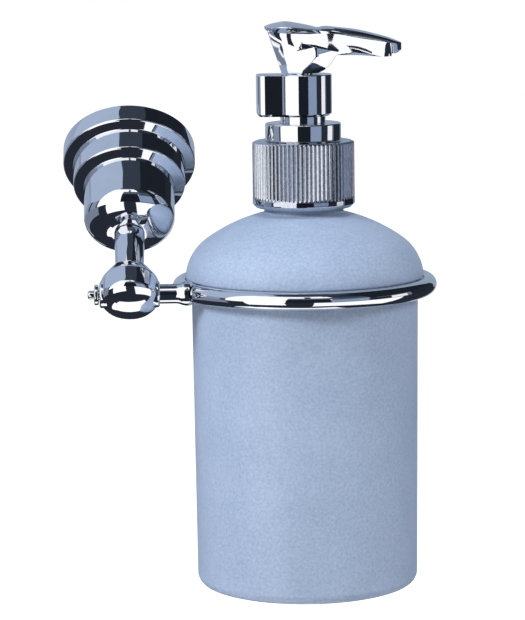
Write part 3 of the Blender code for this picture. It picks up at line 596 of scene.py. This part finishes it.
def collar(chrome):
    """Drawn closure shell: 72 rounded ribs between a chamfered band and a narrow top edge."""
    outline = [
        (14.8, 25.4),
        (15.4, 25.4, 0.15),
        (16.6, 26.6, 0.15),
        (16.6, 28.1, 0.08),
        (16.5, 28.3),
        (16.5, 28.5),
        (16.5, 28.8),
        (16.5, 29.1),
        (16.5, 45.9),
        (16.5, 46.2),
        (16.2, 46.5),
        (15.6, 46.8, 0.1),
        (9.6, 46.8, 0.1),
        (9.6, 45.6),
        (14.8, 45.6),
    ]
    shell = turned(outline, RIB_COUNT * 8)
    # The grooves run out over 0.6 mm at their foot and over 0.7 mm towards the top edge
    rim = 15.8
    for vert in shell.verts:
        radius, height = vert.co.xy.length / MM, vert.co.z / MM
        if radius > rim and height > RIB_FOOT:
            fade = min(1, (height - RIB_FOOT) / 0.6) * min(1, (radius - rim) / 0.7)
            turn = RIB_COUNT * math.atan2(vert.co.y, vert.co.x)
            groove = (0.5 - 0.5 * math.cos(turn)) ** 1.4
            vert.co.xy *= 1 - RIB_DEPTH * fade * groove / radius
    piece("collar_ribbed", shell, PUMP_AXIS, chrome, "closure", "polished_chrome", "collar")


def collar_liner(plastic):
    """Moulded closure body, with a flange that holds the pump down."""
    shell = turned(
        [
            (13.6, 25.8, 0.15),
            (14.5, 25.8, 0.15),
            (14.5, 45.3, 0.3),
            (9.6, 45.3, 0.1),
            (9.6, 44.0, 0.1),
            (13.6, 44.0, 0.3),
        ],
        128,
    )
    piece(
        "collar_liner_moulded",
        shell,
        PUMP_AXIS,
        plastic,
        "closure",
        "natural_polypropylene",
        "collar_liner",
    )


def chaplet(chrome):
    """Smooth boss that the head locks into."""
    outline = [
        (4.1, 44.0, 0.1),
        (9.3, 44.0, 0.1),
        (9.3, 47.1),
        (12.3, 47.1, 0.15),
        (12.3, 52.6, 0.5),
        (7.6, 52.6, 0.2),
        (7.6, 45.2),
        (4.1, 45.2, 0.1),
    ]
    piece(
        "chaplet_turned",
        turned(outline, 144),
        PUMP_AXIS,
        chrome,
        "pump",
        "polished_chrome",
        "chaplet",
    )


def pump_housing(plastic):
    """Flanged cylinder, ball cage and tube socket, in one moulding."""
    outline = [
        (3.3, -3.0, 0.2),
        (4.9, -3.0, 0.3),
        (4.9, 8.0, 0.3),
        (7.6, 12.7, 0.5),
        (7.6, 42.3, 0.3),
        (12.4, 42.3, 0.15),
        (12.4, 43.7, 0.15),
        (6.5, 43.7, 0.2),
        (6.5, 12.7),
        (3.0, 12.7, 0.2),
        (3.0, 8.0),
        (1.2, 8.0, 0.2),
        (1.2, 5.2),
        (3.3, 5.2),
    ]
    body = turned(outline, 112)
    # Four stiffening ribs stand on the tube socket
    outwards = Matrix.Translation((5.0 * MM, 0, 3.4 * MM)) @ Matrix.Diagonal((1.6, 0.7, 9.0, 1))
    for quarter in range(4):
        fin = bmesh.new()
        bmesh.ops.create_cube(fin, size=MM)
        moved(fin, Matrix.Rotation(quarter * math.pi / 2, 4, "Z") @ outwards)
        body = joined(body, fin)
    piece(
        "pump_housing_moulded",
        body,
        PUMP_AXIS,
        plastic,
        "pump",
        "natural_polypropylene",
        "pump_housing",
    )


def dip_tube(plastic):
    """Extruded tube, cut off square."""
    tube = turned([(2.2, -90.0), (3.0, -90.0), (3.0, 4.9), (2.2, 4.9)], 64)
    piece(
        "dip_tube_extruded",
        tube,
        PUMP_AXIS,
        plastic,
        "pump",
        "natural_polypropylene",
        "dip_tube",
    )


def piston(rubber):
    """Seal with two sprung lips."""
    outline = [
        (3.1, 25.5, 0.15),
        (4.9, 25.5, 0.2),
        (6.2, 25.5, 0.1),
        (6.2, 26.1, 0.2),
        (5.3, 27.3, 0.5),
        (5.3, 29.4, 0.5),
        (6.2, 30.6, 0.2),
        (6.2, 31.2, 0.1),
        (3.1, 31.2, 0.15),
    ]
    piece(
        "piston_seal",
        turned(outline, 96),
        PUMP_AXIS,
        rubber,
        "piston_body",
        "seal_rubber",
        "piston",
    )


def stem(plastic):
    """Hollow stem with a seat for the piston at its foot."""
    outline = [
        (1.7, 25.5, 0.1),
        (2.8, 25.5, 0.2),
        (2.8, 31.5),
        (3.8, 31.5, 0.2),
        (3.8, 65.6, 0.2),
        (1.7, 65.6, 0.1),
    ]
    shaft = turned(outline, 80)
    piece("stem_moulded", shaft, PUMP_AXIS, plastic, "head", "natural_polypropylene", "stem")


def inlet_ball(steel):
    """The lower valve's ball, on its seat."""
    bm = bmesh.new()
    bmesh.ops.create_uvsphere(bm, u_segments=48, v_segments=24, radius=2.2 * MM)
    moved(bm, Matrix.Translation((0, 0, 10.5 * MM)))
    piece("inlet_ball_ground", bm, PUMP_AXIS, steel, "ball", "stainless_steel", "inlet_ball")


def lock_sleeve(chrome):
    """Plated sleeve under the head, with the lock's thread at its foot."""
    outline = [(4.1, 46.0, 0.1), (7.0, 46.0, 0.1), (7.3, 46.4, 0.1)]
    foot, pitch = 47.0, 1.1
    for turn in range(4):
        low = foot + turn * pitch
        outline += [(7.3, low), (7.0, low + 0.2), (7.0, low + 0.45), (7.3, low + 0.65)]
    outline += [(7.3, 60.1, 0.1), (4.1, 60.1, 0.1)]
    sleeve = turned(outline, 112)
    piece(
        "lock_sleeve_plated",
        sleeve,
        PUMP_AXIS,
        chrome,
        "head",
        "polished_chrome",
        "lock_sleeve",
    )


# ---------------------------------------------------------------- head


def head_skirt(chrome):
    """Round skirt with a square lug behind, bored from below."""
    radius, lug_half, foot, top = 9.4, 6.5, 54.9, 68.2
    bm = bmesh.new()
    meet = 180 - math.degrees(math.asin(lug_half / radius))
    plan = arc((0, 0), radius, radius, -meet, meet, 112)
    plan += arc((-11.9, 3.5), 3, 3, 90, 180, 14) + arc((-11.9, -3.5), 3, 3, 180, 270, 14)
    base = bm.faces.new([bm.verts.new((x * MM, y * MM, foot * MM)) for x, y in plan])
    lifted = bmesh.ops.extrude_face_region(bm, geom=[base], use_keep_orig=True)
    raised = [v for v in lifted["geom"] if isinstance(v, bmesh.types.BMVert)]
    bmesh.ops.translate(bm, verts=raised, vec=(0, 0, (top - foot) * MM))
    for height, offset, segments in ((foot, 0.8, 1), (top, 0.3, 4)):
        rim = [e for e in bm.edges if all(abs(v.co.z - height * MM) < 1e-6 for v in e.verts)]
        bmesh.ops.bevel(
            bm,
            geom=rim,
            offset=offset * MM,
            segments=segments,
            profile=0.5,
            affect="EDGES",
            material=-1,
        )
    bmesh.ops.recalc_face_normals(bm, faces=bm.faces)
    # The cavity over the chaplet, then the seats of the lock sleeve and the stem
    steps = ((7.6, 53), (7.6, 60.4), (4.1, 60.4), (4.1, 65.9), (3.4, 65.9), (3.4, 70))
    cavity = turned([(0, 53), *steps, (0, 70)], 96)
    skirt = carved(bm, cavity)
    piece(
        "head_skirt_cast",
        skirt,
        PUMP_AXIS,
        chrome,
        "head",
        "polished_chrome",
        "head_skirt",
        sharp=25,
    )


# Sections of the spout along X, in mm from the pump's axis and over the skirt. Each row: reach,
# ridge height, then half width and height of the crown's rim, two steps down its side, the edge
# and the keel
SPOUT_ROWS = (
    (-12.1, 15.20, 0.10, 15.18, 0.18, 15.10, 0.26, 14.95, 0.36, 14.70, 0.30, 14.50),
    (-9.92, 16.00, 3.30, 15.45, 4.10, 14.95, 4.18, 14.70, 2.70, 13.50, 2.40, 12.40),
    (-5.69, 16.70, 5.40, 15.75, 6.90, 15.15, 7.10, 14.85, 4.90, 13.00, 4.20, 10.00),
    (-1.45, 16.13, 5.20, 15.35, 6.70, 14.75, 6.85, 14.45, 4.80, 12.80, 3.90, 8.20),
    (2.60, 15.25, 4.40, 14.75, 5.70, 14.25, 5.80, 14.00, 4.45, 12.70, 3.10, 6.75),
    (4.90, 14.72, 3.80, 14.50, 4.95, 14.05, 5.05, 13.80, 4.30, 12.75, 2.85, 6.25),
    (7.40, 15.05, 3.15, 14.62, 4.05, 14.00, 4.42, 13.50, 4.20, 12.70, 2.60, 5.88),
    (11.77, 14.60, 2.95, 14.25, 3.75, 13.60, 4.08, 13.10, 4.20, 12.55, 2.40, 5.76),
    (18.13, 13.73, 2.50, 13.15, 3.20, 12.35, 3.50, 11.85, 3.60, 11.30, 2.15, 5.59),
    (26.08, 11.69, 2.10, 11.20, 2.60, 10.70, 2.82, 10.35, 2.90, 10.00, 1.65, 5.01),
    (29.00, 10.70, 1.90, 10.30, 2.35, 9.95, 2.60, 9.65, 2.70, 9.40, 2.20, 5.40),
    (31.80, 9.52, 0.90, 9.42, 1.20, 9.30, 1.33, 9.15, 1.38, 8.98, 1.32, 7.20),
)
# The pylon's sections, foot first: back edge, crease, end of the flank and nose, each as reach,
# half width and height
PYLON_ROWS = (
    ((-6.78, 0, 0), (-4.60, 2.50, 0), (-0.36, 4.20, 0), (4.77, 2.18, 0)),
    ((-7.11, 0, 1.0), (-4.90, 2.50, 1.0), (0, 4.40, 1.0), (7.00, 2.08, 1.0)),
    ((-7.83, 0, 3.17), (-5.30, 2.55, 3.17), (2.23, 4.80, 3.17), (9.20, 2.29, 3.17)),
    ((-8.54, 0, 5.34), (-5.90, 2.60, 5.34), (4.45, 5.10, 5.34), (10.60, 2.50, 5.34)),
    ((-11.68, 0, 14.78), (-5.90, 2.70, 11.52), (4.45, 5.10, 8.35), (12.40, 2.50, 6.68)),
)


def between(rows, steps):
    """More rows on a smooth curve through these, with this many steps from one to the next."""

    def blend(p, q, r, s, t):
        cubic = 2 * p - 5 * q + 4 * r - s + t * (3 * (q - r) + s - p)
        return q + 0.5 * t * (r - p + t * cubic)

    full = [rows[0], *rows, rows[-1]]
    out = []
    for four in zip(full, full[1:], full[2:], full[3:]):
        for i in range(steps):
            out.append(tuple(blend(*values, i / steps) for values in zip(*four)))
    return out + [rows[-1]]


def skinned(sections):
    """Bridges equal loops of points, in mm, and closes both ends."""
    bm = bmesh.new()
    loops = []
    for section in sections:
        verts = [bm.verts.new(Vector(point) * MM) for point in section]
        loops.append([bm.edges.new(pair) for pair in zip(verts, verts[1:] + verts[:1])])
    for low, high in zip(loops, loops[1:]):
        bmesh.ops.bridge_loops(bm, edges=low + high)
    for end in (loops[0], loops[-1]):
        bmesh.ops.contextual_create(bm, geom=end)
    bmesh.ops.recalc_face_normals(bm, faces=bm.faces)
    return bm


def mirrored(half):
    """A whole section from its ridge point and its near side."""
    return half + [(x, -y, z) for x, y, z in reversed(half) if y]


def held(points, share=0.08):
    """The same outline with a point on both sides of each corner, so that flats stay flat."""
    out = [points[0]]
    for a, b, c in zip(points, points[1:], points[2:]):
        out += [b.lerp(a, share), b, b.lerp(c, share)]
    return out + [points[-1]]


def softened(bm, width, least):
    """Rounds every edge that turns by more than the least angle, as the polish does."""
    edges = [
        e
        for e in bm.edges
        if len(e.link_faces) == 2 and e.calc_face_angle(0) > math.radians(least)
    ]
    bmesh.ops.bevel(
        bm,
        geom=edges,
        offset=width * MM,
        segments=3,
        profile=0.5,
        affect="EDGES",
        clamp_overlap=True,
        material=-1,
    )
    return bm


def head_spout(chrome):
    """Thumb pad, beak and pylon in one casting, with a peg below and a bore in the beak's tip."""
    foot, leaf_start, leaf_end, drop_per_mm, longest_drop = 68.5, 7, 28, 0.02, 18
    tip = Vector((31.8, 0, 77.0)) * MM
    beak = []
    for row in between(SPOUT_ROWS, 4):
        # A leaf-shaped strip of the flank stands upright, between a fold and the keel
        reach, edge, keel = row[0], Vector(row[8:10]), Vector(row[10:12])
        along = reach - leaf_start
        inside = leaf_start < reach < leaf_end
        leaf = math.sin(math.pi * along / (leaf_end - leaf_start)) if inside else 0
        share = 0.4 + drop_per_mm * min(max(along, 0), longest_drop)
        fold, lower = edge.lerp(keel, share), edge.lerp(keel, share + 0.05 + 0.2 * leaf)
        lower.x += (fold.x - lower.x) * leaf
        upper = [(0, row[1]), row[2:4], row[4:6]]
        near = [*upper, *held([Vector(row[6:8]), edge, fold]), lower, keel]
        beak.append(mirrored([(reach, -half, up + foot) for half, up in near]))
    pylon = []
    for row in PYLON_ROWS:
        near = held([Vector(point) for point in (*row, (row[3][0], 0, row[3][2]))])
        pylon.append(mirrored([(a, -b, c + foot) for a, b, c in near]))
    beak = softened(skinned(beak), width=0.16, least=33)
    pylon = softened(skinned(pylon), width=0.2, least=20)
    outlet = moved(drill(1.1, -6, 2, 40), Matrix.Translation(tip) @ ALONG_X)
    peg = turned([(0, -2), (3.1, -2, 0.3), (3.1, 0.8), (0, 0.8)], 48)
    spout = carved(carved(beak, pylon, "UNION"), outlet)
    spout = joined(spout, moved(peg, Matrix.Translation((0, 0, foot * MM))))
    piece(
        "head_spout_cast",
        spout,
        PUMP_AXIS,
        chrome,
        "head",
        "polished_chrome",
        "head_spout",
        sharp=30,
    )


# ---------------------------------------------------------------- studio


# What the metal reflects: white boxes, pale walls and dark flags set round the object by their
# angles, seen from the ring's centre with 0 towards the camera and 90 to its right. Each row: name,
# azimuths, elevations, colour, strength. A later card stands in front of an earlier one
CARDS = (
    ("ceiling", -180, 180, 68, 90, "#3C4350", 1.0),
    ("back_left_wall", -184, -118, -13, 70, "#A7B6CB", 1.0),
    ("back_right_wall", 140, 180, -8, 70, "#9CABC0", 1.0),
    ("right_high_flag", 54, 144, 14, 70, "#20252D", 1.0),
    ("right_high_wall", 22, 56, 14, 42, "#4E596C", 1.0),
    ("right_top_flag", 22, 56, 40, 70, "#343A47", 1.0),
    ("right_middle", 62, 106, -14, 16, "#76839B", 1.0),
    ("right_edge_flag", 102, 146, -14, 18, "#262B34", 1.0),
    ("right_wall", 20, 56, -14, 22, "#96A5C2", 1.0),
    ("right_thin_flag", 54, 77, -14, 14, "#2C323D", 1.0),
    ("left_wall", -130, -70, 10, 76, "#B6C5DE", 1.0),
    ("left_middle", -134, -72, -13, 12, "#949EB2", 1.0),
    ("left_thin_flag", -112, -103, -13, 12, "#343945", 1.0),
    ("left_edge_flag", -80, -74, -13, 12, "#4A5160", 1.0),
    ("front_high", -20, 30, 28, 46, "#5C6473", 1.0),
    ("front_flag", -20, 20, -13, 30, "#1E232B", 1.0),
    ("left_box", -74, -19, -13, 60, "#FFFFFF", 1.45),
    ("overhead_box", -66, 26, 46, 60, "#FFFFFF", 1.35),
    ("overhead_gap", -3, 4, 45, 61, "#3C4350", 1.0),
    ("right_strip", 77, 96, -9, 11, "#FFFFFF", 1.1),
)
# Cards that lie nearer, between the object and the floor
LOW_CARDS = (
    ("low_flag", -184, 184, -90, -6, "#2A2F39", 1.0),
    ("low_back_left_wall", -184, -134, -30, -6, "#C9CFDA", 1.0),
    ("low_back_right_wall", 150, 180, -32, -6, "#C9CFDA", 1.0),
    ("low_left_wall", -136, -72, -27, -6, "#858FA3", 1.0),
    ("left_box_foot", -54, -19, -33, -6, "#FFFFFF", 1.45),
    ("right_low_box", 5, 88, -48, -9, "#FFFFFF", 1.35),
    ("low_box", -112, -72, -69, -57, "#FFFFFF", 1.45),
)
# How far the two rings of cards stand off, in metres, and how much nearer each next card stands
FAR, NEAR, CLOSER = 1.7, 0.39, 0.005
# A white card that lies flat 0.24 m under the bottle: its left, right, front and back edges and its
# height, in metres from the wall plate
GROUND_CARD = (-0.17, 0.16, -0.14, 0.03, -0.38)
# Lamps: name, azimuth, elevation, size in metres, watts
LAMPS = (
    ("key", -52, 30, 0.3, 13.0),
    ("fill", 75, 28, 0.4, 6.4),
    ("crown", 0, 72, 0.25, 4.5),
)
LAMP_DISTANCE = 1.2
# What lights matt surfaces from the white background, and the glow that keeps the floor white
BACKGROUND_SHARE = 0.35
FLOOR_HEIGHT, FLOOR_SIZE, FLOOR_LIFT = -0.44, 6, 0.75


def direction(azimuth, elevation):
    """A unit vector, from degrees with azimuth 0 towards the camera."""
    a, e = math.radians(azimuth), math.radians(elevation)
    return Vector((math.sin(a) * math.cos(e), -math.cos(a) * math.cos(e), math.sin(e)))


def card(name, left, right, low, high, colour, strength, distance):
    """A curved card that only reflections see."""
    bm = bmesh.new()
    bmesh.ops.create_grid(bm, x_segments=24, y_segments=12, size=1)
    for vert in bm.verts:
        azimuth = left + (right - left) * (vert.co.x + 1) / 2
        elevation = low + (high - low) * (vert.co.y + 1) / 2
        vert.co = RING_CENTRE + direction(azimuth, elevation) * distance
    glowing(name, bm, colour, strength)


def glowing(name, bm, colour, strength):
    """A card that gives off this colour, which only reflections see."""
    material = bpy.data.materials.new(name)
    material.use_nodes = True
    tree = material.node_tree
    tree.nodes.clear()
    glow = node(tree, "ShaderNodeEmission", {"Color": paint(colour), "Strength": strength})
    node(tree, "ShaderNodeOutputMaterial", {"Surface": glow.outputs["Emission"]})
    obj = placed(name, bm, material)
    obj.visible_camera = obj.visible_transmission = False
    obj.visible_diffuse = obj.visible_shadow = False


def lamp(name, azimuth, elevation, size, power):
    """A soft square lamp that lights matt surfaces and the floor."""
    data = bpy.data.lights.new(name, "AREA")
    data.shape, data.size, data.energy = "SQUARE", size, power
    obj = bpy.data.objects.new(name, data)
    outward = direction(azimuth, elevation)
    obj.location = RING_CENTRE + outward * LAMP_DISTANCE
    obj.rotation_euler = outward.to_track_quat("Z", "Y").to_euler()
    obj.visible_glossy = False
    bpy.context.collection.objects.link(obj)


def straight_rays(tree):
    """1 for what the camera, mirrors and clear glass see, 0 for what lights matt surfaces."""
    rays = node(tree, "ShaderNodeLightPath").outputs
    seen = rays["Is Camera Ray"]
    for kind in ("Is Glossy Ray", "Is Transmission Ray"):
        values = {0: seen, 1: rays[kind]}
        seen = node(tree, "ShaderNodeMath", values, operation="MAXIMUM").outputs[0]
    return seen


def background():
    """White to the eye and in mirrors, dimmer as a source of light."""
    world = bpy.data.worlds.new("pale_studio")
    bpy.context.scene.world = world
    world.use_nodes = True
    tree = world.node_tree
    back = tree.nodes["Background"]
    back.inputs["Color"].default_value = (1, 1, 1, 1)
    level = spread(tree, straight_rays(tree), BACKGROUND_SHARE, 1.0)
    tree.links.new(level, back.inputs["Strength"])


def floor():
    """A wide painted floor under the holder."""
    material, tree, shader, place = new_finish("painted_studio_floor")
    colour = two_tones(tree, grain(tree, place, 300.0), "#F4F4F4", "#FAFAFA")
    tree.links.new(colour, shader.inputs["Base Color"])
    shader.inputs["Roughness"].default_value = 0.9
    values = {0: straight_rays(tree), 1: FLOOR_LIFT}
    lift = node(tree, "ShaderNodeMath", values, operation="MULTIPLY")
    shader.inputs["Emission Color"].default_value = (1, 1, 1, 1)
    tree.links.new(lift.outputs[0], shader.inputs["Emission Strength"])
    bm = bmesh.new()
    bmesh.ops.create_grid(bm, x_segments=1, y_segments=1, size=FLOOR_SIZE)
    moved(bm, Matrix.Translation((RING_CENTRE.x, RING_CENTRE.y, FLOOR_HEIGHT)))
    placed("pale_floor", bm, material)


def studio():
    """Background, floor, lamps and cards."""
    background()
    floor()
    for row in LAMPS:
        lamp(*row)
    for cards, distance in ((CARDS, FAR), (LOW_CARDS, NEAR)):
        for order, row in enumerate(cards):
            card(*row, distance * (1 - CLOSER * order))
    left, right, front, back, height = GROUND_CARD
    bm = bmesh.new()
    bmesh.ops.create_grid(bm, x_segments=1, y_segments=1, size=0.5)
    moved(bm, Matrix.Diagonal((right - left, back - front, 1, 1)))
    moved(bm, Matrix.Translation(((left + right) / 2, (front + back) / 2, height)))
    glowing("ground_card", bm, "#FFFFFF", 1.4)


def camera():
    """The photo's camera, as fitted: a long lens 0.94 m away, a little above the ring."""
    focal_px, picture_px, sensor = 2879.8, 620, 36
    data = bpy.data.cameras.new("camera")
    data.sensor_fit, data.sensor_height = "VERTICAL", sensor
    data.lens = focal_px / picture_px * sensor
    obj = bpy.data.objects.new("camera", data)
    ahead, up = Vector((0.0300, 0.9888, -0.1465)), Vector((0.0171, 0.1460, 0.9891))
    turn = Matrix((ahead.cross(up), up, -ahead)).transposed().to_4x4()
    turn.translation = RING_CENTRE + Vector((-41.93, -926.39, 128.95)) * MM
    obj.matrix_world = turn
    data.clip_start, data.clip_end = 0.01, 50
    bpy.context.collection.objects.link(obj)
    bpy.context.scene.camera = obj
    bpy.context.scene.view_settings.view_transform = "Standard"


def build():
    """All pieces, then the studio and the camera."""
    chrome, glass, steel = polished_chrome(), etched_glass(), bright_stainless()
    plastic, rubber = moulded_polypropylene(), seal_rubber()
    wall_plate(steel)
    rosette(chrome)
    grub_axis = WALL_AXIS @ GRUB_LIFT
    set_screw("grub_screw_socket", 1.5, 17.9, 21.4, grub_axis, steel, "grub_screw")
    post(chrome)
    post_screw(steel)
    knuckle(chrome)
    set_screw("clamp_screw_socket", 1.6, 3.45, 8.9, KNUCKLE_AXIS, steel, "clamp_screw")
    arm(chrome)
    bottle_ring(chrome)
    bottle(glass)
    collar(painted_shade_ribbed_chrome())
    collar_liner(plastic)
    chaplet(chrome)
    pump_housing(plastic)
    dip_tube(plastic)
    piston(rubber)
    stem(plastic)
    inlet_ball(steel)
    lock_sleeve(chrome)
    head_skirt(chrome)
    head_spout(chrome)
    # The gasket and the spring are shown as they were packed
    for name, finish in (("neck_gasket", rubber), ("return_spring", steel)):
        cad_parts[name].material_slots[0].material = finish
    studio()
    camera()


build()
